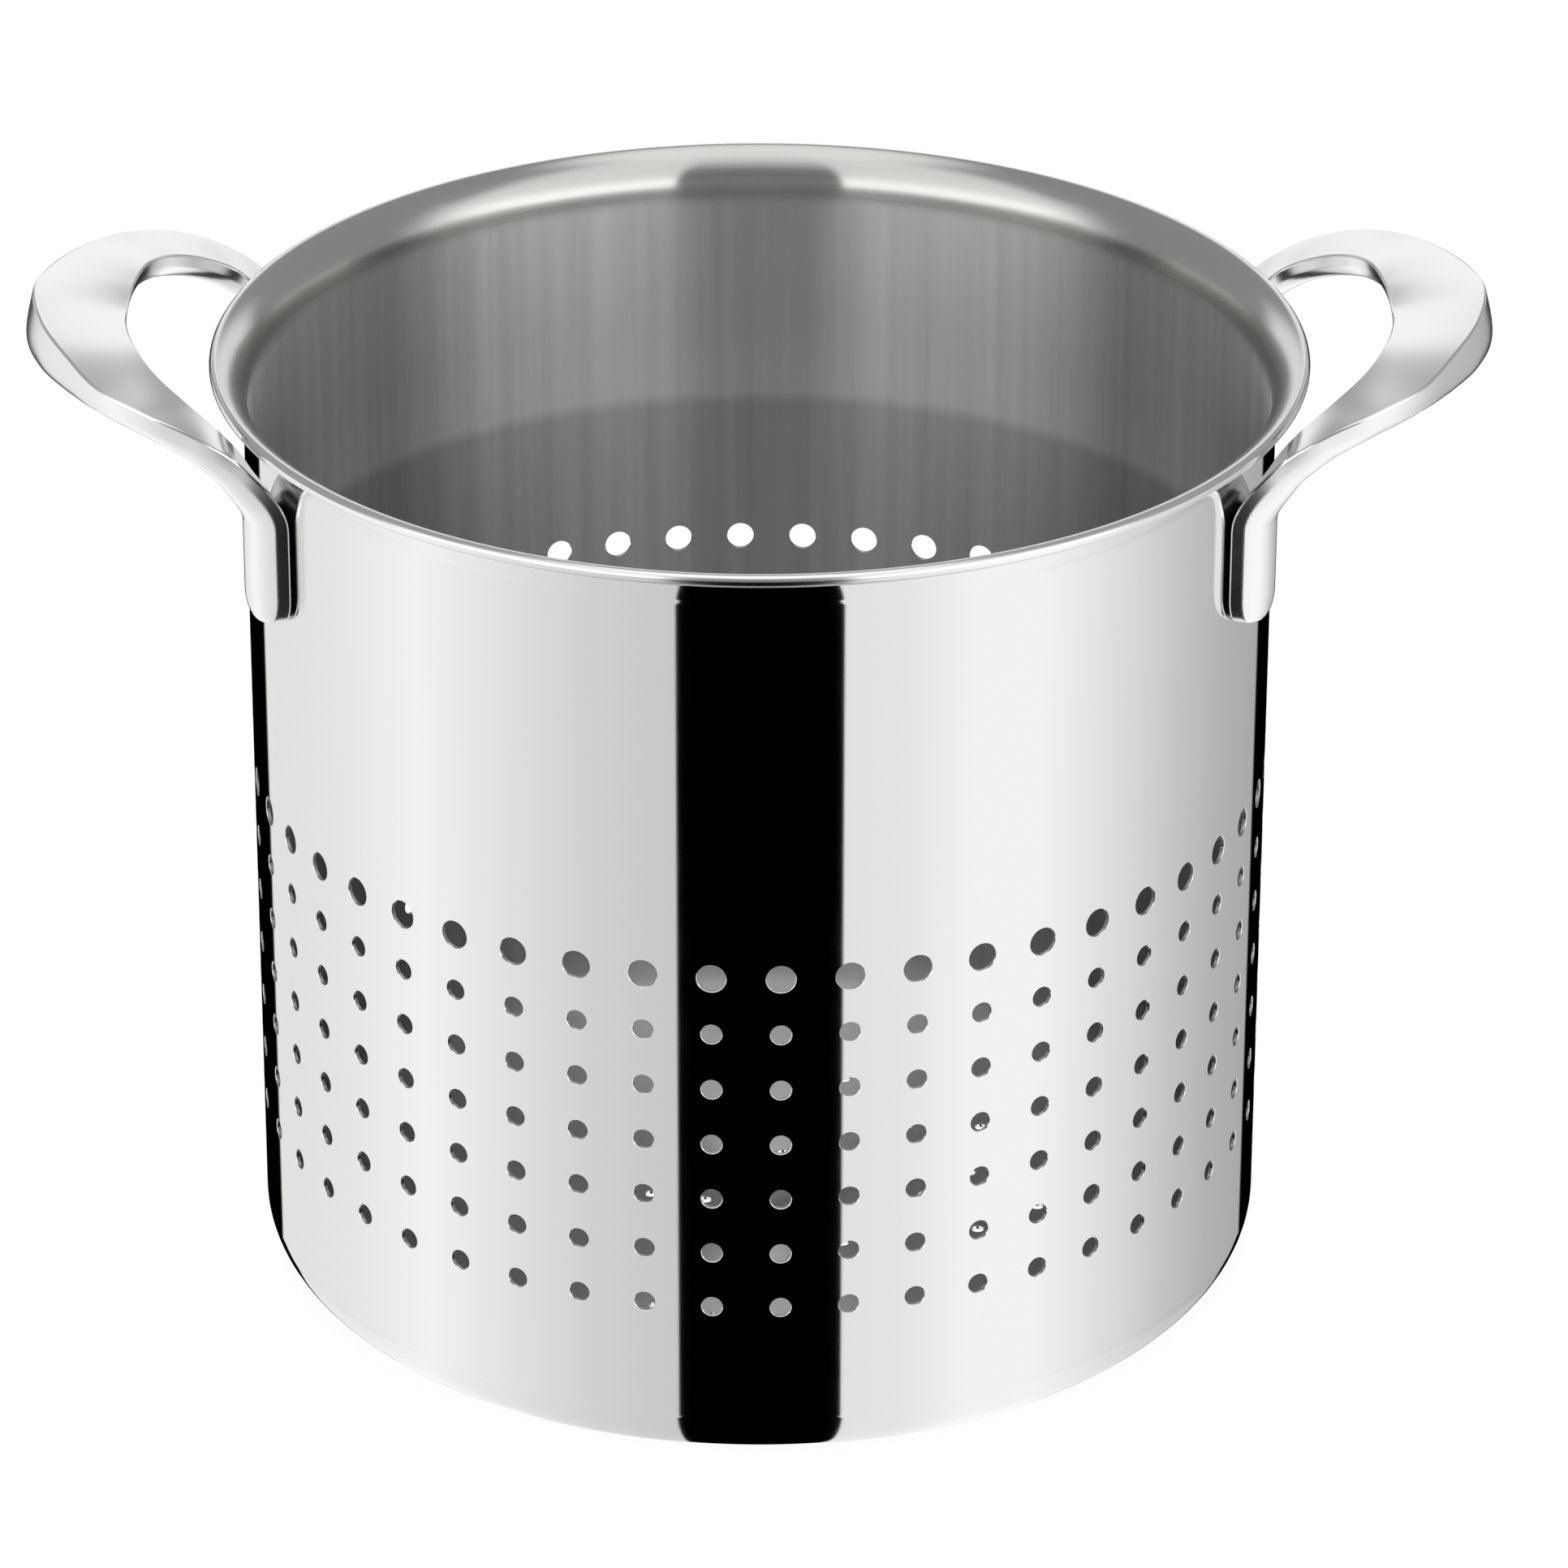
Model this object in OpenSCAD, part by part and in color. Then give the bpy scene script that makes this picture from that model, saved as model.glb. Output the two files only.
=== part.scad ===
// Strainer insert of a pasta pot: a perforated basket, deep drawn in one piece with a rolled
// rim, and two cast loop handles whose feet are spot-welded to the wall.
// The origin is the centre of the underside, +Z is up, the handles lie along X and the front
// is towards -Y.

/* [Basket] */
// Outer diameter of the straight wall
wall_d = 224; // [180:1:280]
// Height from the underside of the base to the crest of the rim
height = 214.5; // [190:0.1:260]
// Thickness of the drawn sheet
sheet = 0.9; // [0.6:0.1:1.4]
// Outer radius of the bend between base and wall
corner_r = 11.5; // [6:0.5:16]
// Height from the start of the rim's flare to the middle of the rolled edge
flare_up = 8.625; // [5:0.125:12]
// How far the middle of the rolled edge stops short of the middle of the flare's bend
flare_short = 4.6; // [2:0.1:6]
// Radius inside the rolled edge of the rim
hem_r = 0.5; // [0.3:0.05:1]
// Angle that the rolled edge turns through
hem_turn = 200; // [130:5:220]

/* [Wall holes] */
// Number of hole columns round the wall
columns = 48; // [24:1:54]
// Number of hole rows
rows = 7; // [3:1:8]
// Height of the lowest row above the underside
row_low = 39.2; // [28:0.1:50]
// Distance from one row to the next
row_pitch = 13.2; // [10:0.1:15]
// Diameter of the holes in every row but the top one
hole_d = 4.5; // [3:0.1:6]
// Diameter of the holes in the top row
top_hole_d = 6.3; // [4:0.1:8]
// Turn of the first column from the front, towards +X
column_turn = 2.2; // [0:0.1:7.5]

/* [Base holes] */
// Number of hole rings round the centre hole
base_rings = 5; // [2:1:6]
// Distance from one ring to the next
ring_pitch = 12.7; // [8:0.1:13]
// Diameter of the holes in the base
base_hole_d = 2.8; // [2:0.1:4]
// Turn of the first spoke of holes from the front, towards +X
spoke_turn = 17.6; // [0:0.1:60]

/* [Handles] */
// Reach of the loop's outer edge from the plane of its feet
handle_reach = 53.8; // [45:0.1:65]
// Width of the loop across its two arms
loop_w = 106.2; // [98:0.2:116]
// Height of the loop's outer edge above the rim
handle_rise = 13.7; // [8:0.1:24]
// Distance between the middles of the two feet
foot_spread = 91; // [80:1:100]
// Depth below the rim at which an arm meets the wall
foot_drop = 20; // [15:0.1:26]
// Length of a foot along the wall
foot_len = 23.8; // [16:0.1:30]
// Width of a foot
foot_w = 16.5; // [10:0.5:18]
// Height of the side facet of a foot
foot_side = 2.9; // [1.5:0.1:3.5]
// Rise of a foot's rounded back above its side facets
foot_back = 4.2; // [3:0.1:6]
// Length of the rounded end of a foot
foot_end = 8; // [4:0.1:10]
// Draft angle of the side facets
side_draft = 20; // [0:1:30]
// Rise of an arm's rounded back above its side facets
arm_back = 3.9; // [2.5:0.1:6]
// Height of the outer side at the tip of the loop
tip_side = 10.1; // [6:0.1:12]
// Rise of the rounded underside at the tip of the loop
tip_back = 5.9; // [3:0.1:7]

/* [Welds] */
// Diameter of a weld nugget
nugget_d = 5; // [3:0.5:7]
// Gap that a nugget bridges between foot and wall
weld_gap = 0.5; // [0.2:0.05:0.8]

/* [Hidden] */

steel = [0.80, 0.80, 0.79];
casting = [0.86, 0.86, 0.85];
weld_steel = [0.62, 0.62, 0.60];

wall_r = wall_d / 2;
inner_r = wall_r - sheet;
drill_over = 1;
round_fn = 96;
hole_fn = 24;
top_z = height;
flare_slope = atan2(flare_short, flare_up);
flare_r = norm([flare_short, flare_up]) + hem_r;
flare_c = wall_r + flare_r;
hem_c = flare_c - flare_short;
hem_z = top_z - sheet - hem_r;
flare_z = hem_z - flare_up;
// Reach of the wedges that cut a bend out of its ring, clear of the largest one.
wedge_reach = 34;
first_column = column_turn - 90;
first_spoke = spoke_turn - 90;

// A foot's flat is tangent to the wall, one weld gap clear of it.
flat_r = wall_r + weld_gap;
foot_a = asin(foot_spread / 2 / flat_r);
foot_x = flat_r * cos(foot_a);
foot_top = top_z - foot_drop;
foot_mid = [foot_x, foot_spread / 2, foot_top];
foot_along = [-sin(foot_a), cos(foot_a), 0];
nugget_low = 0.28;
nugget_high = 0.72;

// Edges of the loop's top face, from the tip to the last station before the foot. Each entry is
// the reach, the half width, the rise above the rim and the share of the foot's drop.
outer_edge = [
    [1.00, 0.00, 1.00, 0.00],
    [0.95, 0.30, 0.925, 0.00],
    [0.83, 0.586, 0.82, 0.00],
    [0.69, 0.818, 0.648, 0.00],
    [0.507, 0.951, 0.454, 0.00],
    [0.30, 1.00, 0.204, 0.05],
    [0.10, 1.00, 0.00, 0.296]
];
inner_edge = [
    [0.623, 0.00, 0.632, 0.00],
    [0.61, 0.223, 0.71, 0.00],
    [0.565, 0.431, 0.727, 0.00],
    [0.48, 0.607, 0.565, 0.00],
    [0.35, 0.737, 0.29, 0.00],
    [0.21, 0.81, 0.00, 0.065],
    [0.107, 0.804, 0.00, 0.45]
];
// How much of the tip's depth each station has, and how far its facets fade into the rounded
// underside, on the outer and on the inner side.
tip_share = [1.00, 0.80, 0.53, 0.15, 0.07, 0.04, 0.00, 0.00];
soft_out = [1.00, 1.00, 1.00, 0.80, 0.45, 0.10, 0.00, 0.00];
soft_in = [1.00, 0.60, 0.20, 0.00, 0.00, 0.00, 0.00, 0.00];
// Fullness of the underside at the tip and of a foot's end in plan: 2 is an ellipse.
tip_full = 3.6;
end_full = 2.1;
end_turn = 84;
steps = 5;
end_steps = 6;
arc_steps = 10;
// The crease between two faces is broken by this much.
edge_break = 0.45;
crown = 0.35;

function edge_point(e) = [
    foot_x + handle_reach * e[0],
    loop_w / 2 * e[1],
    top_z + handle_rise * e[2] - foot_drop * e[3]
];
outer_pts = concat([for (e = outer_edge) edge_point(e)], [foot_mid + foot_along * foot_w / 2]);
inner_pts = concat([for (e = inner_edge) edge_point(e)], [foot_mid - foot_along * foot_w / 2]);
last = len(outer_pts) - 1;

// Direction of an edge at one of its points: across the loop at the tip, straight down at the foot.
function slope(p, i) =
    i == 0 ? [0, p[1][1], 0] :
    i == last ? [0, 0, -norm(p[last] - p[last - 1])] :
    (p[i + 1] - p[i - 1]) / 2;
function curve(p, i, t) =
    p[i] * (1 + 2 * t) * pow(1 - t, 2) + slope(p, i) * t * pow(1 - t, 2)
    + p[i + 1] * t * t * (3 - 2 * t) + slope(p, i + 1) * t * t * (t - 1);
function unit(v) = v / norm(v);
function mix(a, b, t) = a + (b - a) * t;

// A rounded step of the unit circle, fuller than a circle.
function full(x, fullness) = sign(x) * pow(abs(x), 2 / fullness);

// One section of the bar. The top face runs from the inner edge p to the outer edge q. Two side
// facets and a rounded back hang from it, against the normal, and fade into one full curve.
function section(p, q, way, side_out, side_in, back, fade_out, fade_in, narrow) =
    let (
        mid = (p + q) / 2,
        across = unit(q - p),
        up = unit(cross(across, way)),
        half = norm(q - p) / 2 * narrow,
        cut = min(edge_break, half / 2),
        low = (side_out + side_in) / 2,
        lean = (side_out - side_in) / 2,
        rise = back * narrow
    )
    concat(
        [for (a = [-1 + cut / half, -0.6, -0.2, 0.2, 0.6, 1 - cut / half])
            mid + across * half * a + up * crown * narrow * (1 - a * a)],
        [mid + across * half - up * cut],
        [for (k = [0 : arc_steps])
            let (
                a = cos(180 * k / arc_steps),
                w = 180 * (k + 0.6) / (arc_steps + 1.2),
                soft_a = full(cos(w), tip_full),
                soft = mix(fade_in, fade_out, (1 + a) / 2),
                inset = tan(side_draft) * (low + lean * a) * narrow,
                hard_y = low + lean * a + rise * (1 - a * a),
                soft_y = cut + (low + lean * soft_a + rise - cut) * full(sin(w), tip_full)
            )
            mid + across * mix((half - inset) * a, half * soft_a, soft) - up * mix(hard_y, soft_y, soft)],
        [mid - across * half - up * cut]
    );

// Stations from the tip down to the foot, on the rear half of the loop.
function loop_station(i, t) =
    let (
        p = curve(inner_pts, i, t),
        q = curve(outer_pts, i, t),
        d = 0.01,
        t0 = max(t - d, 0),
        t1 = min(t + d, 1),
        way = i == 0 && t == 0 ? [0, 1, 0] : unit(
            curve(inner_pts, i, t1) + curve(outer_pts, i, t1)
            - curve(inner_pts, i, t0) - curve(outer_pts, i, t0)),
        tip = mix(tip_share[i], tip_share[i + 1], t),
        foot = max(i + t - last + 1, 0),
        back = arm_back + (tip_back - arm_back) * tip + (foot_back - arm_back) * foot
    )
    section(p, q, way, mix(foot_side, tip_side, tip), foot_side, back,
        mix(soft_out[i], soft_out[i + 1], t), mix(soft_in[i], soft_in[i + 1], t), 1);
function foot_station(k) =
    let (
        w = end_turn * k / end_steps,
        z = foot_end - foot_len - foot_end * full(sin(w), end_full)
    )
    section(inner_pts[last] + [0, 0, z], outer_pts[last] + [0, 0, z], [0, 0, -1],
        foot_side, foot_side, foot_back, 0, 0, full(cos(w), end_full));
rear_half = concat(
    [for (i = [0 : last - 1]) for (j = [0 : steps - 1]) loop_station(i, j / steps)],
    [loop_station(last - 1, 1)],
    [for (k = [0 : end_steps]) foot_station(k)]
);
function flip_y(s) = [for (p = s) [p[0], -p[1], p[2]]];
rings = concat(
    [for (i = [len(rear_half) - 1 : -1 : 1]) flip_y(rear_half[i])],
    rear_half
);
sides = len(rings[0]);

module loop_handle() {
    n = len(rings);
    pts = [for (s = rings) for (p = s) p];
    skin = [for (i = [0 : n - 2]) for (j = [0 : sides - 1])
        let (a = i * sides + j, b = i * sides + (j + 1) % sides)
        each [[a, b, b + sides], [a, b + sides, a + sides]]];
    caps = [[for (j = [sides - 1 : -1 : 0]) j], [for (j = [0 : sides - 1]) (n - 1) * sides + j]];
    polyhedron(points = pts, faces = concat(skin, caps), convexity = 6);
}

module weld_nuggets() {
    for (s = [-1, 1], h = [nugget_low, nugget_high])
        rotate([0, 0, s * foot_a])
            translate([wall_r, 0, foot_top - foot_len * h])
            rotate([0, 90, 0])
            cylinder(d = nugget_d, h = weld_gap, $fn = round_fn);
}

// A bend of the sheet: its radius inside, the angle at which it starts and how far it turns.
module bend(r, start, turn) {
    intersection() {
        difference() {
            circle(r = r + sheet, $fn = round_fn);
            circle(r = r, $fn = round_fn);
        }
        polygon(concat(
            [[0, 0]],
            [for (k = [0 : 4]) let (a = start - turn * k / 4) wedge_reach * [cos(a), sin(a)]]
        ));
    }
}

// Half section of the drawn sheet: base, corner, wall, flared rim and its rolled, rounded edge.
module shell_profile() {
    square([wall_r - corner_r, sheet]);
    translate([wall_r - corner_r, corner_r])
        bend(corner_r - sheet, 0, 90);
    translate([inner_r, corner_r])
        square([sheet, flare_z - corner_r]);
    translate([flare_c, flare_z])
        bend(flare_r, 180, 90 - flare_slope);
    translate([hem_c, hem_z]) {
        bend(hem_r, 90 + flare_slope, hem_turn);
        rotate(90 + flare_slope - hem_turn)
            translate([hem_r + sheet / 2, 0])
            circle(d = sheet, $fn = hole_fn);
    }
}

module wall_hole(d) {
    translate([inner_r - drill_over, 0, 0])
        rotate([0, 90, 0])
        cylinder(d = d, h = sheet + 2 * drill_over, $fn = hole_fn);
}

module basket() {
    color(steel)
        difference() {
            rotate_extrude($fn = round_fn)
                shell_profile();
            for (row = [0 : rows - 1], column = [0 : columns - 1])
                rotate([0, 0, first_column + column * 360 / columns])
                    translate([0, 0, row_low + row * row_pitch])
                    wall_hole(row == rows - 1 ? top_hole_d : hole_d);
            translate([0, 0, -drill_over])
                cylinder(d = base_hole_d, h = sheet + 2 * drill_over, $fn = hole_fn);
            for (ring = [1 : base_rings], k = [0 : 6 * ring - 1])
                rotate([0, 0, first_spoke + k * 60 / ring])
                    translate([ring * ring_pitch, 0, -drill_over])
                    cylinder(d = base_hole_d, h = sheet + 2 * drill_over, $fn = hole_fn);
        }
}

module right_handle() {
    color(casting)
        loop_handle();
}

module left_handle() {
    color(casting)
        mirror([1, 0, 0])
        loop_handle();
}

module right_handle_welds() {
    color(weld_steel)
        weld_nuggets();
}

module left_handle_welds() {
    color(weld_steel)
        mirror([1, 0, 0])
        weld_nuggets();
}

basket();
left_handle();
right_handle();
left_handle_welds();
right_handle_welds();
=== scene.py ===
# %% [markdown]
# # A strainer insert in polished steel
# The real object is the insert of a pasta pot: one basket, deep drawn from sheet and punched with
# drain holes, and two cast loop handles welded to its wall. Polished steel has no colour of its own.
# It shows the room, so the shapes have to be smooth to the last facet, and the studio does the rest.

# %% Load the frame and keep its box
import math
import bmesh
import bpy
from mathutils import Matrix, Vector


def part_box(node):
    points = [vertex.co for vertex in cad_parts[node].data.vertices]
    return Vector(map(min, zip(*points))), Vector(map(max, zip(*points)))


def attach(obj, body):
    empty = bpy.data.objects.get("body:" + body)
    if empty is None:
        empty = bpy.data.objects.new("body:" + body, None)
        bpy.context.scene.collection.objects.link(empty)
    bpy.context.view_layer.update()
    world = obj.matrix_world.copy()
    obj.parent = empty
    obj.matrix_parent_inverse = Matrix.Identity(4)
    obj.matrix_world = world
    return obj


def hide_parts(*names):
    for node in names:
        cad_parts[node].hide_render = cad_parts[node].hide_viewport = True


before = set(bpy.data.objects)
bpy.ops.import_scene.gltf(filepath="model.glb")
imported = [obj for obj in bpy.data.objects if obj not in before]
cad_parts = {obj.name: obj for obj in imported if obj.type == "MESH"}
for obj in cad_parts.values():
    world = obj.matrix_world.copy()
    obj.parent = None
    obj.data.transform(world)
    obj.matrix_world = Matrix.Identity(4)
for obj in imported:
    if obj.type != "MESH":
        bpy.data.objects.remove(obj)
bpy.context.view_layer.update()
MM = 0.001
print("nodes:", ", ".join(sorted(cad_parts)))

# %% [markdown]
# ## Helpers
# Blender's operators act on what is selected. A few small helpers select pieces, open one for editing,
# select in it by place, and apply a modifier, so that each later step reads as it would by hand.

# %% Editing helpers
def select_only(*pieces):
    """Select these pieces and nothing else, with the first one active."""
    bpy.ops.object.select_all(action="DESELECT")
    for piece in pieces:
        piece.select_set(True)
    bpy.context.view_layer.objects.active = pieces[0]


def open_piece(piece, mode="VERT"):
    """Start editing one piece, with nothing selected in it."""
    select_only(piece)
    bpy.ops.object.mode_set(mode="EDIT")
    bpy.ops.mesh.select_mode(type=mode)
    bpy.ops.mesh.select_all(action="DESELECT")


def close_piece():
    bpy.ops.object.mode_set(mode="OBJECT")


def pick(piece, kind, test, keep=False):
    """Select the verts, edges or faces of the open piece that pass a test."""
    if not keep:
        bpy.ops.mesh.select_all(action="DESELECT")
    shape = bmesh.from_edit_mesh(piece.data)
    found = [item for item in getattr(shape, kind) if test(item)]
    for item in found:
        item.select_set(True)
    shape.select_flush_mode()
    bmesh.update_edit_mesh(piece.data)
    return len(found)


def finish_with(piece, kind, **settings):
    """Add a modifier, set it and apply it."""
    select_only(piece)
    step = piece.modifiers.new(kind.lower(), kind)
    for name, value in settings.items():
        setattr(step, name, value)
    bpy.ops.object.modifier_apply(modifier=step.name)


def join(pieces, name):
    """Join pieces into the first one."""
    select_only(*pieces)
    bpy.ops.object.join()
    pieces[0].name = name
    pieces[0].data.name = name
    return pieces[0]


def bake_place(piece):
    """Put a piece's place, turn and scale into its mesh."""
    select_only(piece)
    bpy.ops.object.transform_apply(location=True, rotation=True, scale=True)


# %% [markdown]
# ## The basket's wall
# The wall is a cylinder with 48 columns and 7 rows of holes. Cutting them with booleans would leave
# long thin triangles that show as smears in a mirror. So one flat tile round one hole is made from
# clean quads, repeated as a flat strip, and bent into a tube, as a rolled sheet would be.

# %% Sizes of the basket
wall_r = 112 * MM
sheet = 0.9 * MM
corner_r = 11.5 * MM
flare_up = 8.625 * MM
flare_short = 4.6 * MM
hem_r = 0.5 * MM
hem_turn = math.radians(200)
rim_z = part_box("basket")[1][2]
columns = 48
rows = 7
row_low = 39.2 * MM
row_pitch = 13.2 * MM
hole_r = 4.5 / 2 * MM
top_hole_r = 6.3 / 2 * MM
lip_w = 0.45 * MM
column_turn = math.radians(2.2)
tile_w = 2 * math.pi * wall_r / columns
tile_side = 6
hole_points = 4 * tile_side
round_steps = columns * tile_side
near = 0.01 * MM
print("rim height", round(rim_z / MM, 2), "mm, tile", round(tile_w / MM, 2), "mm wide")


# %% One tile of wall round one hole
def wall_tile(name, radius, z):
    """A flat tile in the XZ plane, with a round hole of clean quads in its middle."""
    def on_border(v):
        return abs(abs(v.co.x) - tile_w / 2) < near or abs(abs(v.co.z - z) - row_pitch / 2) < near

    upright = (math.pi / 2, 0, 0)
    bpy.ops.mesh.primitive_grid_add(
        x_subdivisions=tile_side, y_subdivisions=tile_side, size=1, location=(0, 0, z), rotation=upright)
    tile = bpy.context.object
    tile.name = name
    tile.scale = (tile_w, row_pitch, 1)
    bake_place(tile)
    open_piece(tile)
    pick(tile, "verts", lambda v: not on_border(v))
    bpy.ops.mesh.delete(type="VERT")
    bpy.ops.mesh.select_mode(type="EDGE")
    bpy.ops.mesh.primitive_circle_add(
        vertices=hole_points, radius=radius, fill_type="NOTHING", location=(0, 0, z), rotation=upright)
    bpy.ops.mesh.extrude_region_move()
    lip = 1 + lip_w / radius
    bpy.ops.transform.resize(value=(lip, lip, lip), center_override=(0, 0, z))
    pick(tile, "edges", lambda e: all(on_border(v) for v in e.verts), keep=True)
    bpy.ops.mesh.bridge_edge_loops()
    close_piece()
    return tile


small_tile = wall_tile("wall", hole_r, row_low)
finish_with(small_tile, "ARRAY", count=rows - 1, use_relative_offset=False, use_constant_offset=True,
            constant_offset_displace=(0, 0, row_pitch), use_merge_vertices=True, merge_threshold=near)
top_tile = wall_tile("top_row", top_hole_r, row_low + (rows - 1) * row_pitch)
strip = join([small_tile, top_tile], "wall")
finish_with(strip, "ARRAY", count=columns, use_relative_offset=False, use_constant_offset=True,
            constant_offset_displace=(tile_w, 0, 0), use_merge_vertices=True, merge_threshold=near)
print("strip:", len(strip.data.polygons), "faces")

# %% Bend the strip into the wall
finish_with(strip, "SIMPLE_DEFORM", deform_method="BEND", deform_axis="Z", angle=2 * math.pi)
open_piece(strip)
bpy.ops.mesh.select_all(action="SELECT")
bpy.ops.transform.translate(value=(0, -wall_r, 0))
bpy.ops.mesh.remove_doubles(threshold=near)
close_piece()
radii = [v.co.xy.length / MM for v in strip.data.vertices]
print("wall radius from", round(min(radii), 3), "to", round(max(radii), 3), "mm")

# %% [markdown]
# ## Rim, bend and base
# Above and below the holes the basket is a turned shape. A line is drawn by extruding one point and
# spinning it round the middle of each bend, and the line is then spun once round the basket.

# %% The turned lines
band_low = row_low - row_pitch / 2
band_high = row_low + (rows - 0.5) * row_pitch
flare_slope = math.atan2(flare_short, flare_up)
flare_r = math.hypot(flare_short, flare_up) + hem_r
flare_c = wall_r + flare_r
hem_c = flare_c - flare_short
hem_z = rim_z - sheet - hem_r
flare_z = hem_z - flare_up
base_flat_r = wall_r - corner_r
plate_r = 70 * MM
flare_steps = 11
bend_steps = 14


def start_line(name, radius, z):
    """A piece that is a single point, in front of the axis."""
    bpy.ops.mesh.primitive_circle_add(vertices=3, radius=MM, location=(0, 0, 0))
    line = bpy.context.object
    line.name = name
    open_piece(line)
    bpy.ops.mesh.select_all(action="SELECT")
    bpy.ops.mesh.merge(type="CENTER")
    bpy.ops.transform.translate(value=(0, -radius, z))
    return line


def draw_by(out, up, steps=1):
    for _ in range(steps):
        bpy.ops.mesh.extrude_region_move(TRANSFORM_OT_translate={"value": (0, -out / steps, up / steps)})


def turn_line(radius, z, angle, steps):
    """Carry on the line round a bend whose middle is at a radius and a height."""
    bpy.ops.mesh.spin(steps=steps, angle=angle, center=(0, -radius, z), axis=(1, 0, 0))


rim = start_line("rim", wall_r, band_high)
draw_by(0, flare_z - band_high, 3)
turn_line(flare_c, flare_z, flare_slope - math.pi / 2, flare_steps)
turn_line(hem_c, hem_z, -hem_turn, bend_steps)
close_piece()
foot = start_line("foot", plate_r, 0)
draw_by(base_flat_r - plate_r, 0, 3)
turn_line(base_flat_r, corner_r, math.pi / 2, bend_steps)
draw_by(0, band_low - corner_r, 2)
close_piece()
for line in (rim, foot):
    places = [(round(v.co.xy.length / MM, 2), round(v.co.z / MM, 2)) for v in line.data.vertices]
    print(line.name, "from", places[0], "to", places[-1], "highest", max(z for _, z in places))

# %% Spin the lines round the axis
for line in (rim, foot):
    open_piece(line)
    bpy.ops.mesh.select_all(action="SELECT")
    bpy.ops.mesh.spin(steps=round_steps, angle=2 * math.pi, center=(0, 0, 0), axis=(0, 0, 1))
    bpy.ops.mesh.select_all(action="SELECT")
    bpy.ops.mesh.remove_doubles(threshold=near)
    close_piece()
    print(line.name, len(line.data.polygons), "faces")

# %% [markdown]
# ## The base plate
# The base has rings of small holes. It is flat, so nothing shows how its faces are split: the circles
# are added inside the ring that the spin left, and one fill closes the plate between them.

# %% Punch the base
base_rings = 5
ring_pitch = 12.7 * MM
base_hole_r = 2.8 / 2 * MM
base_hole_points = 20
spoke_turn = math.radians(17.6)


def in_plate(v):
    """True for a point of the plate's plane, up to the ring that the spin left."""
    return abs(v.co.z) < near and v.co.xy.length < plate_r + near


skin = join([strip, rim, foot], "basket_shell")
open_piece(skin)
bpy.ops.mesh.select_all(action="SELECT")
bpy.ops.mesh.remove_doubles(threshold=near)
bpy.ops.mesh.select_all(action="DESELECT")
bpy.ops.mesh.select_mode(type="EDGE")
for ring in range(base_rings + 1):
    for spoke in range(max(1, 6 * ring)):
        turn = spoke_turn - column_turn + spoke * math.pi / 3 / max(1, ring)
        place = (ring * ring_pitch * math.sin(turn), -ring * ring_pitch * math.cos(turn), 0)
        bpy.ops.mesh.primitive_circle_add(
            vertices=base_hole_points, radius=base_hole_r, fill_type="NOTHING", location=place)
count = pick(skin, "edges", lambda e: all(in_plate(v) for v in e.verts))
bpy.ops.mesh.fill(use_beauty=True)
bpy.ops.mesh.select_all(action="SELECT")
bpy.ops.mesh.normals_make_consistent(inside=False)
close_piece()
wall_faces = [f for f in skin.data.polygons if band_low < f.center.z < band_high]
outward = sum(1 for f in wall_faces if f.normal.x * f.center.x + f.normal.y * f.center.y > 0)
if outward < len(wall_faces) / 2:
    open_piece(skin)
    bpy.ops.mesh.select_all(action="SELECT")
    bpy.ops.mesh.flip_normals()
    close_piece()
print("plate edges", count, "faces", len(skin.data.polygons))
print("wall faces", len(wall_faces), "of which looked out", outward)

# %% [markdown]
# ## Thickness and edges
# The skin is the outside of the basket. Solidify adds the sheet's thickness on the inside, and every
# hole gets its wall at once. A punched edge is never knife sharp: a small bevel catches the light as
# the thin bright line that each hole shows in its lower edge.

# %% Thicken the sheet and break its edges
rim_break = 0.4 * MM
punch_break = 0.11 * MM
punch_angle = math.radians(55)
smooth_angle = math.radians(28)
same_turn = 0.02

finish_with(skin, "SOLIDIFY", thickness=sheet, offset=-1, use_even_offset=True, use_rim=True)
open_piece(skin, "EDGE")


def at_rim_edge(v):
    """True for the two corners of the sheet's free edge, all the way round."""
    out = v.co.xy.length - hem_c
    far = math.hypot(out, v.co.z - hem_z)
    turned = math.pi / 2 + flare_slope - math.atan2(v.co.z - hem_z, out)
    return abs(turned - hem_turn) < same_turn and (abs(far - hem_r) < near or abs(far - hem_r - sheet) < near)


def level(e):
    return abs(e.verts[0].co.z - e.verts[1].co.z) < near


count = pick(skin, "edges", lambda e: level(e) and all(at_rim_edge(v) for v in e.verts))
bpy.ops.mesh.bevel(offset=rim_break, segments=2, affect="EDGES")
close_piece()
finish_with(skin, "BEVEL", width=punch_break, segments=1, limit_method="ANGLE", angle_limit=punch_angle)
skin.rotation_euler = (0, 0, column_turn)
bake_place(skin)
bpy.ops.object.shade_smooth_by_angle(angle=smooth_angle)
skin.data.calc_loop_triangles()
print("rim edges", count, "basket triangles", len(skin.data.loop_triangles))

# %% [markdown]
# A mirror shows the smallest error of a normal. Round a hole, a corner has wall on one side of it
# only, so its averaged normal leans and the reflection wobbles. The wall is a true cylinder, and its
# normals are known: they point straight away from the axis outside and straight at it inside.

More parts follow.
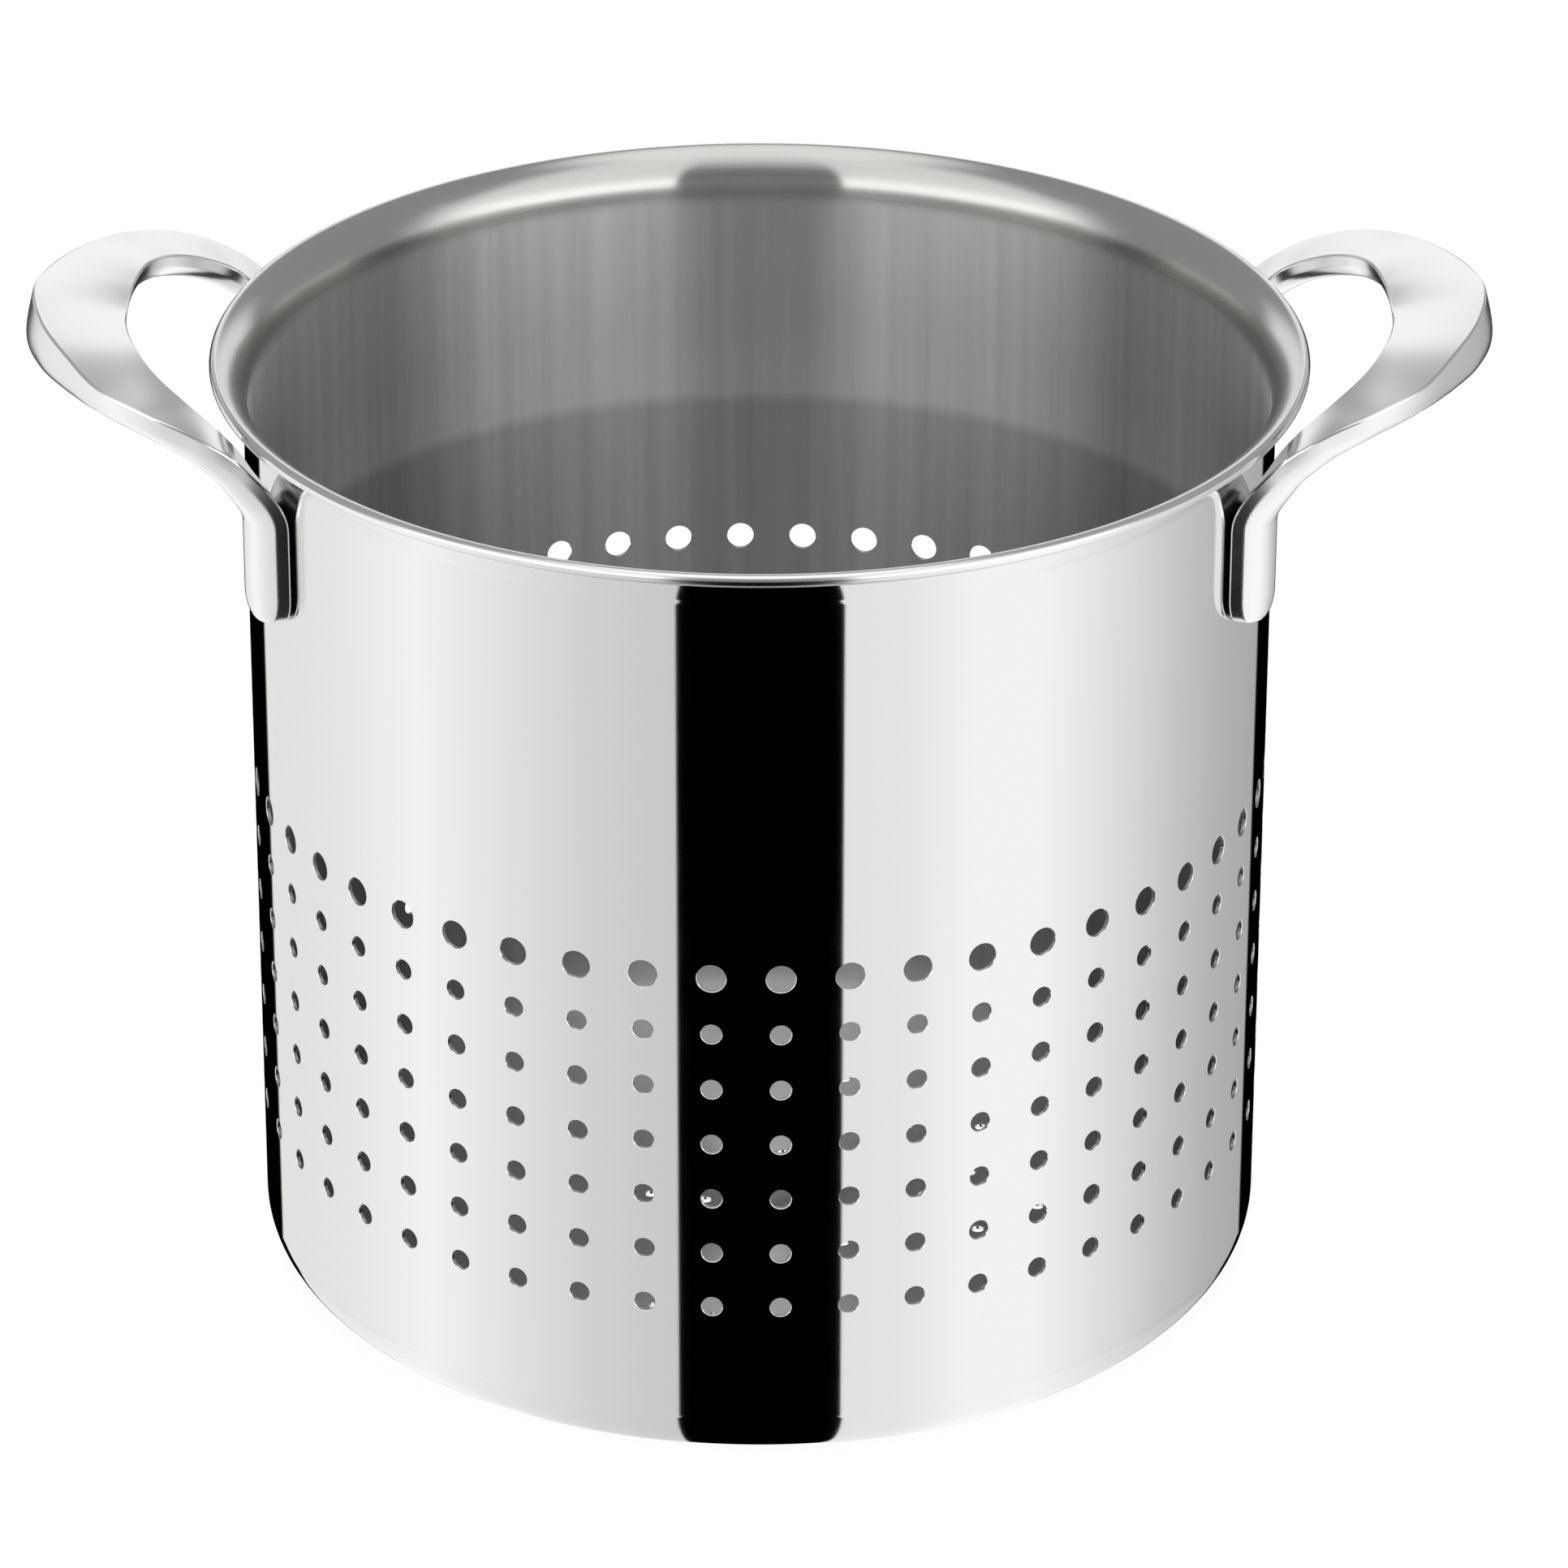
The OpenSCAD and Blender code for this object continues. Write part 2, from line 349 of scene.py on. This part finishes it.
# %% True normals on the straight wall
def true_normals(piece, inner_radius, outer_radius, low, high):
    """Keep all normals, but write the cylinder's own on the faces of the straight wall."""
    mesh = piece.data
    normals = [corner.vector.copy() for corner in mesh.corner_normals]
    changed = 0
    for face in mesh.polygons:
        points = [mesh.vertices[k].co for k in face.vertices]
        if min(v.z for v in points) < low - near or max(v.z for v in points) > high + near:
            continue
        for radius, side in ((outer_radius, 1), (inner_radius, -1)):
            if all(abs(math.hypot(v.x, v.y) - radius) < near for v in points):
                for corner, v in zip(face.loop_indices, points):
                    normals[corner] = Vector((v.x * side, v.y * side, 0)).normalized()
                changed += 1
    mesh.normals_split_custom_set(normals)
    return changed


print("wall faces with true normals:", true_normals(skin, wall_r - sheet, wall_r, corner_r, flare_z))

# %% [markdown]
# ## The handles
# Each handle is a casting with one bar that leaves the wall at two feet, bends outwards over the
# rim and widens into a thumb rest at the tip. Its section is a D: a flat face that lies on the wall at
# the foot and looks up at the tip, two narrow side facets, and a rounded back. The bar is drawn
# section by section: one face is extruded and its corners are put on the next section.

# %% Sizes of a handle
handle_reach = 53.8 * MM
loop_w = 106.2 * MM
handle_rise = 13.7 * MM
foot_spread = 91 * MM
foot_drop = 20 * MM
foot_len = 23.8 * MM
foot_w = 16.5 * MM
foot_side = 2.9 * MM
foot_back = 4.2 * MM
foot_end = 8 * MM
side_draft = math.radians(20)
arm_back = 3.9 * MM
tip_side = 10.1 * MM
tip_back = 5.9 * MM
weld_gap = 0.5 * MM
edge_break = 0.45 * MM
crown = 0.35 * MM
flat_r = wall_r + weld_gap
foot_a = math.asin(foot_spread / 2 / flat_r)
foot_mid = Vector((flat_r * math.cos(foot_a), foot_spread / 2, rim_z - foot_drop))
foot_along = Vector((-math.sin(foot_a), math.cos(foot_a), 0))
outer_edge = [(1.00, 0.00, 1.00, 0.00), (0.95, 0.30, 0.925, 0.00), (0.83, 0.586, 0.82, 0.00),
              (0.69, 0.818, 0.648, 0.00), (0.507, 0.951, 0.454, 0.00), (0.30, 1.00, 0.204, 0.05),
              (0.10, 1.00, 0.00, 0.296)]
inner_edge = [(0.623, 0.00, 0.632, 0.00), (0.61, 0.223, 0.71, 0.00), (0.565, 0.431, 0.727, 0.00),
              (0.48, 0.607, 0.565, 0.00), (0.35, 0.737, 0.29, 0.00), (0.21, 0.81, 0.00, 0.065),
              (0.107, 0.804, 0.00, 0.45)]
tip_share = [1.00, 0.80, 0.53, 0.15, 0.07, 0.04, 0.00, 0.00]
soft_out = [1.00, 1.00, 1.00, 0.80, 0.45, 0.10, 0.00, 0.00]
soft_in = [1.00, 0.60, 0.20, 0.00, 0.00, 0.00, 0.00, 0.00]
tip_full = 3.6
end_full = 2.1
end_turn = math.radians(84)
top_steps = 12
side_steps = 4
back_steps = 20
edge_lead = 0.3
crease_angle = math.radians(22)


def edge_points(shares, end):
    """The real points of one edge of the top face, from the tip to the foot."""
    points = [Vector((foot_mid.x + handle_reach * a, loop_w / 2 * b, rim_z + handle_rise * c - foot_drop * d))
              for a, b, c, d in shares]
    return points + [foot_mid + foot_along * end]


outer_points = edge_points(outer_edge, foot_w / 2)
inner_points = edge_points(inner_edge, -foot_w / 2)
last = len(outer_points) - 1
print("edge points from the tip to the foot:", last + 1)


# %% The curves that carry the sections
def slope(points, i):
    if i == 0:
        return Vector((0, points[1].y, 0))
    if i == last:
        return Vector((0, 0, -(points[last] - points[last - 1]).length))
    return (points[i + 1] - points[i - 1]) / 2


def along(points, i, t):
    """A point on the smooth curve through the points, between point i and the next."""
    return (points[i] * (1 + 2 * t) * (1 - t) ** 2 + slope(points, i) * t * (1 - t) ** 2
            + points[i + 1] * t * t * (3 - 2 * t) + slope(points, i + 1) * t * t * (t - 1))


def full(x, fullness):
    """A rounded step of the unit circle, fuller than a circle."""
    return math.copysign(abs(x) ** (2 / fullness), x)


def mix(a, b, t):
    return a + (b - a) * t


def section(p, q, way, side_out, side_in, back, fade_out, fade_in, narrow):
    """The section between the inner edge p and the outer edge q: facets that fade into one curve."""
    mid = (p + q) / 2
    across = (q - p).normalized()
    up = across.cross(way).normalized()
    half = (q - p).length / 2 * narrow
    cut = min(edge_break, half / 2)
    low = (side_out + side_in) / 2
    lean = (side_out - side_in) / 2
    rise = back * narrow
    inset_out = math.tan(side_draft) * side_out * narrow
    inset_in = math.tan(side_draft) * side_in * narrow
    ring = []
    for k in range(top_steps + 1):
        a = (1 - cut / half) * (k / (top_steps / 2) - 1)
        ring.append((half * a, crown * narrow * (1 - a * a)))
    ring += [(half - cut * edge_lead, -cut * edge_lead), (half, -cut)]
    hard = [(half - inset_out * k / side_steps, cut + (side_out - cut) * k / side_steps)
            for k in range(1, side_steps)]
    for k in range(back_steps + 1):
        a = math.cos(math.pi * k / back_steps)
        hard.append((a * (half - mix(inset_in, inset_out, (1 + a) / 2)), low + lean * a + rise * (1 - a * a)))
    hard += [(inset_in * k / side_steps - half, cut + (side_in - cut) * k / side_steps)
             for k in range(side_steps - 1, 0, -1)]
    for k, (hard_x, hard_y) in enumerate(hard):
        w = math.pi * (k + 1) / (len(hard) + 1)
        soft_a = full(math.cos(w), tip_full)
        soft_y = cut + (low + lean * soft_a + rise - cut) * full(math.sin(w), tip_full)
        soft = mix(fade_in, fade_out, (1 + math.cos(w)) / 2)
        ring.append((mix(hard_x, half * soft_a, soft), -mix(hard_y, soft_y, soft)))
    ring += [(-half, -cut), (-half + cut * edge_lead, -cut * edge_lead)]
    return [mid + across * a + up * b for a, b in ring]


# %% The sections of half a handle
def half_handle(steps=9, end_steps=10, nudge=0.01):
    """Sections from the tip to the end of the rear foot, each square to the way of the bar."""
    found = []
    for i in range(last):
        for j in range(steps + (i == last - 1)):
            t = j / steps
            p = along(inner_points, i, t)
            q = along(outer_points, i, t)
            t0, t1 = max(t - nudge, 0), min(t + nudge, 1)
            way = (along(inner_points, i, t1) + along(outer_points, i, t1)
                   - along(inner_points, i, t0) - along(outer_points, i, t0)).normalized()
            if i == 0 and j == 0:
                way = Vector((0, 1, 0))
            tip = mix(tip_share[i], tip_share[i + 1], t)
            to_foot = max(i + t - last + 1, 0)
            back = arm_back + (tip_back - arm_back) * tip + (foot_back - arm_back) * to_foot
            found.append(section(p, q, way, mix(foot_side, tip_side, tip), foot_side, back,
                                 mix(soft_out[i], soft_out[i + 1], t), mix(soft_in[i], soft_in[i + 1], t), 1))
    for k in range(end_steps + 1):
        w = end_turn * k / end_steps
        drop = Vector((0, 0, foot_end - foot_len - foot_end * full(math.sin(w), end_full)))
        found.append(section(inner_points[last] + drop, outer_points[last] + drop, Vector((0, 0, -1)),
                             foot_side, foot_side, foot_back, 0, 0, full(math.cos(w), end_full)))
    return found


print("sections in half a handle:", len(half_handle()))


# %% Draw a handle
def smooth_loop(loop):
    """Merge what touches, turn the faces outwards and smooth all but the creases."""
    open_piece(loop)
    bpy.ops.mesh.select_all(action="SELECT")
    bpy.ops.mesh.remove_doubles(threshold=near / 10)
    bpy.ops.mesh.normals_make_consistent(inside=False)
    close_piece()
    bpy.ops.object.shade_smooth_by_angle(angle=crease_angle)


def draw_handle(name):
    """Extrude one face from section to section, then mirror the half loop."""
    sections = half_handle()
    bpy.ops.mesh.primitive_circle_add(vertices=len(sections[0]), radius=10 * MM, fill_type="NGON")
    bar = bpy.context.object
    bar.name = name
    open_piece(bar, "FACE")
    for number, ring in enumerate(sections):
        if number == 0:
            bpy.ops.mesh.select_all(action="SELECT")
        else:
            bpy.ops.mesh.extrude_region_move()
        shape = bmesh.from_edit_mesh(bar.data)
        end_face = [f for f in shape.faces if f.select][0]
        for corner, point in zip(end_face.verts, ring):
            corner.co = point
        bmesh.update_edit_mesh(bar.data)
    pick(bar, "faces", lambda f: all(abs(v.co.y) < near for v in f.verts))
    bpy.ops.mesh.delete(type="ONLY_FACE")
    close_piece()
    finish_with(bar, "MIRROR", use_axis=(False, True, False), use_clip=True, merge_threshold=near)
    smooth_loop(bar)
    return bar


right_loop = draw_handle("right_loop")
right_loop.data.calc_loop_triangles()
print("handle triangles", len(right_loop.data.loop_triangles))

# %% The left handle is the mirror of the right one
left_loop = right_loop.copy()
left_loop.data = right_loop.data.copy()
left_loop.name = "left_loop"
bpy.context.collection.objects.link(left_loop)
left_loop.scale = (-1, 1, 1)
bake_place(left_loop)
smooth_loop(left_loop)
print("left handle reaches x", round(min(v.co.x for v in left_loop.data.vertices) / MM, 2), "mm")

# %% [markdown]
# ## Shader maths
# A finish is written as plain sums. A Wire is one socket; adding or multiplying wires adds Math
# nodes, and a Finish makes every other node.

# %% Wires and finishes
class Wire:
    def __init__(self, tree, socket):
        self.tree = tree
        self.socket = socket

    def maths(self, kind, first, second=0.0):
        node = self.tree.nodes.new("ShaderNodeMath")
        node.operation = kind
        for slot, value in zip(node.inputs, (first, second)):
            if isinstance(value, Wire):
                self.tree.links.new(value.socket, slot)
            else:
                slot.default_value = value
        return Wire(self.tree, node.outputs[0])

    def __add__(self, other): return self.maths("ADD", self, other)
    def __radd__(self, other): return self.maths("ADD", other, self)
    def __sub__(self, other): return self.maths("SUBTRACT", self, other)
    def __rsub__(self, other): return self.maths("SUBTRACT", other, self)
    def __mul__(self, other): return self.maths("MULTIPLY", self, other)
    def __rmul__(self, other): return self.maths("MULTIPLY", other, self)
    def __truediv__(self, other): return self.maths("DIVIDE", self, other)
    def root(self): return self.maths("SQRT", self)
    def size(self): return self.maths("ABSOLUTE", self)
    def larger(self, other): return self.maths("MAXIMUM", self, other)
    def angle_from(self, other): return self.maths("ARCTAN2", self, other)


class Finish:
    def __init__(self, tree):
        self.tree = tree

    def node(self, kind, settings=None, sockets=None, out=0):
        """Make one node: its settings first, then the values or links of its sockets."""
        made = self.tree.nodes.new(kind)
        for name, value in (settings or {}).items():
            if name == "stops":
                ramp = made.color_ramp
                while len(ramp.elements) < len(value):
                    ramp.elements.new(0.5)
                for element, (place, grey) in zip(ramp.elements, value):
                    element.position = place
                    element.color = (grey, grey, grey, 1)
            else:
                setattr(made, name, value)
        for name, value in (sockets or {}).items():
            if isinstance(value, Wire):
                self.tree.links.new(value.socket, made.inputs[name])
            else:
                made.inputs[name].default_value = value
        return Wire(self.tree, made.outputs[out])

    def step(self, value, low, high):
        """A smooth step from 0 below low to 1 above high."""
        return self.node("ShaderNodeMapRange", {"interpolation_type": "SMOOTHSTEP", "clamp": True},
                         {"Value": value, "From Min": low, "From Max": high})

    def axes(self, vector):
        """The three numbers of a vector."""
        return [self.node("ShaderNodeSeparateXYZ", None, {"Vector": vector}, out=axis) for axis in "XYZ"]

    def noise(self, at, scale, detail, **more):
        return self.node("ShaderNodeTexNoise", None, {"Vector": at, "Scale": scale, "Detail": detail, **more})

    def bump(self, height, strength):
        """Bump of a height in metres."""
        return self.node("ShaderNodeBump", None, {"Height": height, "Strength": strength, "Distance": 1.0})

    def feed(self, shader, **wires):
        """Link wires to the shader's sockets: an underscore stands for a space."""
        for name, wire in wires.items():
            self.tree.links.new(wire.socket, shader.inputs[name.replace("_", " ")])


def steel(name, tint):
    """An empty metal finish: its material, its Finish and its shader."""
    material = bpy.data.materials.new(name)
    material.use_nodes = True
    tree = material.node_tree
    shader = tree.nodes["Principled BSDF"]
    shader.inputs["Metallic"].default_value = 1
    shader.inputs["Base Color"].default_value = (*tint, 1)
    return material, Finish(tree), shader


# %% [markdown]
# ## Finish of the basket
# Outside, the sheet is polished to a mirror. Inside and on the rim it keeps the marks of the drawing
# and brushing, fine rings that run round the axis. Such rings spread a reflection up and down and
# leave it sharp sideways, so the inside shows soft upright streaks. The shader has that as Anisotropic,
# with its stretch turned a quarter so that it lies across the rings. It is one number for a whole
# surface, so the basket has three materials, told apart by the way its faces look: the third is the
# satin rolled edge. The brushed colour inside also holds painted light. The many reflections between
# wall and base make the upper part of the wall inside lighter, with a soft crest where it begins. A few
# bounces of light don't give that, so the upper wall is painted lighter, with a painted highlight crest.
# Upright painted reflection streaks are added to the colour, and the tone is darker on the flare and
# lighter on the base.

# %% Outside, inside and rolled edge
# Height where the painted light begins: above it the inside wall is painted lighter, with a painted highlight
# crest
painted_light_edge = 154 * MM
# The painted shade grey and the painted light grey of the brushed inside
painted_shade_steel = (0.47, 0.465, 0.45, 1)
painted_light_steel = (0.80, 0.795, 0.78, 1)
coarse = 1500
fine = 60
across_marks = 1.6
# Sizes of the painted reflection streaks, across and along
across_streaks = 26
along_streaks = 6
mix_share, mix_from, mix_to, mix_colour = 0, 6, 7, 2


def ring_marks(made, fineness):
    """Noise that is drawn out round the axis, as brushing leaves it."""
    x, y, z = made.axes(made.node("ShaderNodeTexCoord", out="Object"))
    radius = (x * x + y * y).root()
    at = made.node("ShaderNodeCombineXYZ", None,
                   {"X": x / radius * across_marks, "Y": y / radius * across_marks,
                    "Z": (z + radius) * fineness})
    return made.noise(at, 1.0, 3.0, Roughness=0.6)


def polished_steel():
    material, made, shader = steel("polished steel", (0.79, 0.79, 0.78))
    soft = ring_marks(made, fine)
    made.feed(shader, Roughness=0.03 + 0.02 * soft, Normal=made.bump(soft * 0.000002, 0.3))
    return material


def brushed_steel_and_painted_light():
    material, made, shader = steel("brushed steel and painted light", (0.74, 0.735, 0.72))
    x, y, z = made.axes(made.node("ShaderNodeTexCoord", out="Object"))
    radius = (x * x + y * y).root()
    marks = ring_marks(made, coarse)
    soft = ring_marks(made, fine)
    # Painted reflection: upright noise streaks in the colour stand in for the streaks that reflections draw
    # on the brushed wall
    round_at = made.node("ShaderNodeCombineXYZ", None,
                         {"X": x / radius * across_streaks, "Y": y / radius * across_streaks,
                          "Z": z * along_streaks})
    painted_reflection_streaks = made.noise(round_at, 1.0, 2.0)
    on_flare = made.step(z, flare_z - 4 * MM, flare_z + 3 * MM)
    on_wall = made.step(z, 3 * MM, corner_r) * (1 - on_flare)
    on_base = 1 - made.step(z, 1.5 * MM, 5 * MM)
    # Painted light: the upper wall inside is painted lighter, and a soft painted highlight crest sits just
    # above its edge
    painted_light_band = made.step(z, painted_light_edge - 2 * MM, painted_light_edge + 2 * MM)
    painted_highlight_crest = painted_light_band * (1 - made.step(z, painted_light_edge + 2 * MM, painted_light_edge + 22 * MM))
    # The tone mixes the painted light band, the painted highlight crest and painted reflection streaks, and
    # is darker on the flare and lighter on the base
    painted_light_tone = (0.30 + 0.42 * painted_light_band + 0.20 * painted_highlight_crest - 0.32 * on_flare + 0.65 * on_base
            + (painted_reflection_streaks - 0.5) * 0.8 * on_wall)
    # The inside's colour is mixed between the painted shade grey and the painted light grey by that painted
    # tone
    painted_steel_colour = made.node("ShaderNodeMix", {"data_type": "RGBA"},
                           {mix_share: painted_light_tone, mix_from: painted_shade_steel, mix_to: painted_light_steel}, out=mix_colour)
    made.feed(shader, Base_Color=painted_steel_colour, Roughness=0.38 + 0.08 * marks + 0.04 * soft - 0.28 * on_flare,
              Normal=made.bump(marks * 0.000010 + soft * 0.000002, 0.3))
    shader.inputs["Anisotropic"].default_value = 1.0
    shader.inputs["Anisotropic Rotation"].default_value = 0.25
    return material


def rolled_edge_steel():
    """Satin steel on the rolled edge, coarser where the edge turns under."""
    material, made, shader = steel("rolled edge steel", (0.84, 0.835, 0.82))
    x, y, z = made.axes(made.node("ShaderNodeTexCoord", out="Object"))
    under = 1 - made.step(z, hem_z - 0.9 * MM, hem_z - 0.4 * MM)
    made.feed(shader, Roughness=0.15 + 0.38 * under + 0.05 * ring_marks(made, coarse))
    return material


# %% [markdown]
# ## Finish of the handles and welds
# The castings are polished by hand, so they are a little softer than the sheet and their surface
# wanders very slightly. The weld nuggets between foot and wall stay dull.

# %% Casting and weld
def cast_steel():
    material, made, shader = steel("cast steel", (0.86, 0.86, 0.85))
    place = made.node("ShaderNodeTexCoord", out="Object")
    wander = made.noise(place, 70.0, 2.0)
    scratch = made.noise(place, 900.0, 3.0)
    made.feed(shader, Roughness=0.17 + 0.06 * wander + 0.03 * scratch,
              Normal=made.bump(wander * 0.00004 + scratch * 0.0000006, 0.4))
    return material


def weld_steel():
    material, made, shader = steel("weld steel", (0.52, 0.51, 0.49))
    grain = made.noise(made.node("ShaderNodeTexCoord", out="Object"), 1400.0, 4.0)
    made.feed(shader, Roughness=0.35 + 0.3 * grain)
    return material


def wear(piece, *materials):
    """Give a piece these materials and no other."""
    piece.data.materials.clear()
    for material in materials:
        piece.data.materials.append(material)


casting = cast_steel()
welding = weld_steel()
for loop in (right_loop, left_loop):
    wear(loop, casting)
for name in ("right_handle_welds", "left_handle_welds"):
    wear(bpy.data.objects[name], welding)
print("materials of handles and welds:", ", ".join(material.name for material in (casting, welding)))

# %% Which steel each face of the basket has
wear(skin, polished_steel(), brushed_steel_and_painted_light(), rolled_edge_steel())
polished, brushed, rolled = range(3)


def depth_from_below(radius, z):
    """How deep a point lies behind the outer skin of the base and its rounded corner."""
    if radius > base_flat_r and z < corner_r:
        return corner_r - math.hypot(radius - base_flat_r, corner_r - z)
    return z


def steel_of(face):
    radius, z = face.center.xy.length, face.center.z
    inside = radius < wall_r - sheet / 2 and depth_from_below(radius, z) > sheet / 2
    past_flare = math.hypot(radius - flare_c, z - flare_z) > flare_r + sheet / 2
    if inside or (z > flare_z and radius < hem_c and past_flare):
        return brushed
    return rolled if math.hypot(radius - hem_c, z - hem_z) < hem_r + sheet * 1.5 else polished


for face in skin.data.polygons:
    face.material_index = steel_of(face)
counts = [sum(face.material_index == kind for face in skin.data.polygons) for kind in range(3)]
print("polished, brushed and rolled faces:", counts)

# %% Every piece rides on the one body and stands for its node
for piece, node, slot in ((skin, "basket", "drawn_steel"), (right_loop, "right_handle", "cast_steel"),
                          (left_loop, "left_handle", "cast_steel")):
    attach(piece, "root")
    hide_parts(node)
    print(piece.name, "stands for", node)

# %% [markdown]
# ## The studio
# A polished cylinder that is seen from above mirrors what lies low round it, turned through twice the
# angle of its side. The studio is therefore a ring of soft light walls. A narrow black flag on the
# camera's side gives the black stripe down the front. It goes on overhead and pales there, and the
# brushed inside shows it as a soft dark band down the middle of the far wall. Another flag behind the
# basket draws its sides. Over the horizon the light is brightest low on the camera's side, and grey
# at the sides and high behind, which shapes the rim, the inside and the handles. The rounded base
# corner leans, so it mirrors steeper directions at other turns than the wall above it. There the ring
# and the flags are laid out by the turn of the surface, and run on over the corner. All of it depends
# on direction alone, for one viewing height, and stands still when the view moves.

# %% The ring of light walls and the two flags
pitch = 0.46163
ring_walls = [(-150, 0.88), (-110, 0.98), (-82, 1.12), (-60, 0.96), (-38, 0.80), (-20, 0.735), (19, 0.96),
              (32, 0.98), (48, 1.12), (66, 1.12), (90, 0.88), (108, 0.69), (126, 0.555), (152, 0.45)]
brightest = max(light for _, light in ring_walls)
steep_from, steep_to = -0.56, -0.64
horizon_from, horizon_to = -0.03, 0.06
zenith_from, zenith_to = 0.90, 0.97


def shares(*degrees):
    """Degrees as shares of half a turn, which the world's nodes count in."""
    return [angle / 180 for angle in degrees]


def studio_world():
    world = bpy.data.worlds.new("studio")
    world.use_nodes = True
    made = Finish(world.node_tree)
    x, y, z = made.axes(made.node("ShaderNodeTexCoord", out="Generated"))
    steep = 1 - made.step(z, steep_to, steep_from)
    level_turn = x.angle_from(y * -1.0) / math.pi
    corner_turn = x.angle_from(math.cos(pitch) - y) * 2 / math.pi
    turn = level_turn * (1 - steep) + corner_turn * steep
    aside = turn.size()
    stops = [(degrees / 360 + 0.5, light / brightest) for degrees, light in ring_walls]
    ring = made.node("ShaderNodeValToRGB", {"stops": stops}, {"Fac": turn / 2 + 0.5}) * brightest
    above = made.step(z, horizon_from, horizon_to)
    zenith = made.step(z, zenith_from, zenith_to)
    sides = made.step(aside, *shares(70, 92)) * (1 - made.step(aside, *shares(138, 150)))
    beside_back = (1 - made.step(aside, *shares(160, 176))) * made.step(aside, *shares(90, 110))
    high_back = made.step(y, -0.28, -0.10) * made.step(z, 0.48, 0.68)
    grey = sides.larger(high_back).larger(beside_back * made.step(z, 0.20, 0.40)) * (1 - zenith)
    low_front = (1 - made.step(aside, *shares(60, 84))) * (1 - made.step(z, 0.15, 0.55))
    high = 1.05 + 0.85 * low_front + 0.15 * zenith - 0.68 * grey
    corner_narrows = steep * (y + 0.79) * 0.9 / 180
    in_line = 1 - made.step(aside + corner_narrows, *shares(18.2, 18.9))
    camera_flag = in_line * (1 - 0.17 * made.step(z, 0.0, 0.15) - 0.83 * made.step(z, 0.55, 0.98))
    behind = made.step(turn, *shares(150.6, 152.4)) + 1 - made.step(turn, *shares(-149.6, -148.0))
    flags = camera_flag.larger(behind * (1 - above))
    light = (ring * (1 - above) + high * above) * (1 - flags)
    seen = made.node("ShaderNodeLightPath", out="Is Camera Ray")
    shown = light * (1 - seen) + seen * 1.0
    background = world.node_tree.nodes["Background"]
    background.inputs["Color"].default_value = (1, 1, 1, 1)
    made.feed(background, Strength=shown)
    return world


bpy.context.scene.world = studio_world()
bpy.context.scene.view_settings.view_transform = "Standard"
print("light walls:", len(ring_walls), "brightest", brightest)

# %% [markdown]
# ## Floor and camera
# The floor is white paper that glows a little, so that it stays white round the basket and shows only
# a faint shadow. The steel doesn't mirror it: the ring of light takes its place. The camera is the
# pinhole that was fitted to the centres of the wall's holes in the photograph.

# %% Floor
floor_size = 16
floor_z = -0.4 * MM
paper_white = 0.22
paper_glow = 0.86

bpy.ops.mesh.primitive_plane_add(size=floor_size, location=(0, 0, floor_z))
floor = bpy.context.object
floor.name = "floor"
floor.visible_glossy = False
paper = bpy.data.materials.new("white paper")
paper.use_nodes = True
page = paper.node_tree.nodes["Principled BSDF"]
page.inputs["Base Color"].default_value = (paper_white, paper_white, paper_white, 1)
page.inputs["Roughness"].default_value = 0.9
page.inputs["Emission Color"].default_value = (1, 1, 1, 1)
page.inputs["Emission Strength"].default_value = paper_glow
floor.data.materials.append(paper)
print("floor at", floor_z / MM, "mm")

# %% Camera
pixels = 1932
sensor = 36
focal_pixels = 9645.4
yaw = 0.00564
roll = 0.00199
seat = Vector((-3.36, -1560.04, 884.57)) * MM
camera_data = bpy.data.cameras.new("camera")
camera_data.sensor_width = sensor
camera_data.lens = focal_pixels / pixels * sensor
camera = bpy.data.objects.new("camera", camera_data)
bpy.context.collection.objects.link(camera)
camera.matrix_world = (Matrix.Translation(seat) @ Matrix.Rotation(-yaw, 4, "Z")
                       @ Matrix.Rotation(math.pi / 2 - pitch, 4, "X") @ Matrix.Rotation(roll, 4, "Z"))
bpy.context.scene.camera = camera
print("lens", round(camera_data.lens, 2), "mm, looking down by", round(math.degrees(pitch), 2), "degrees")
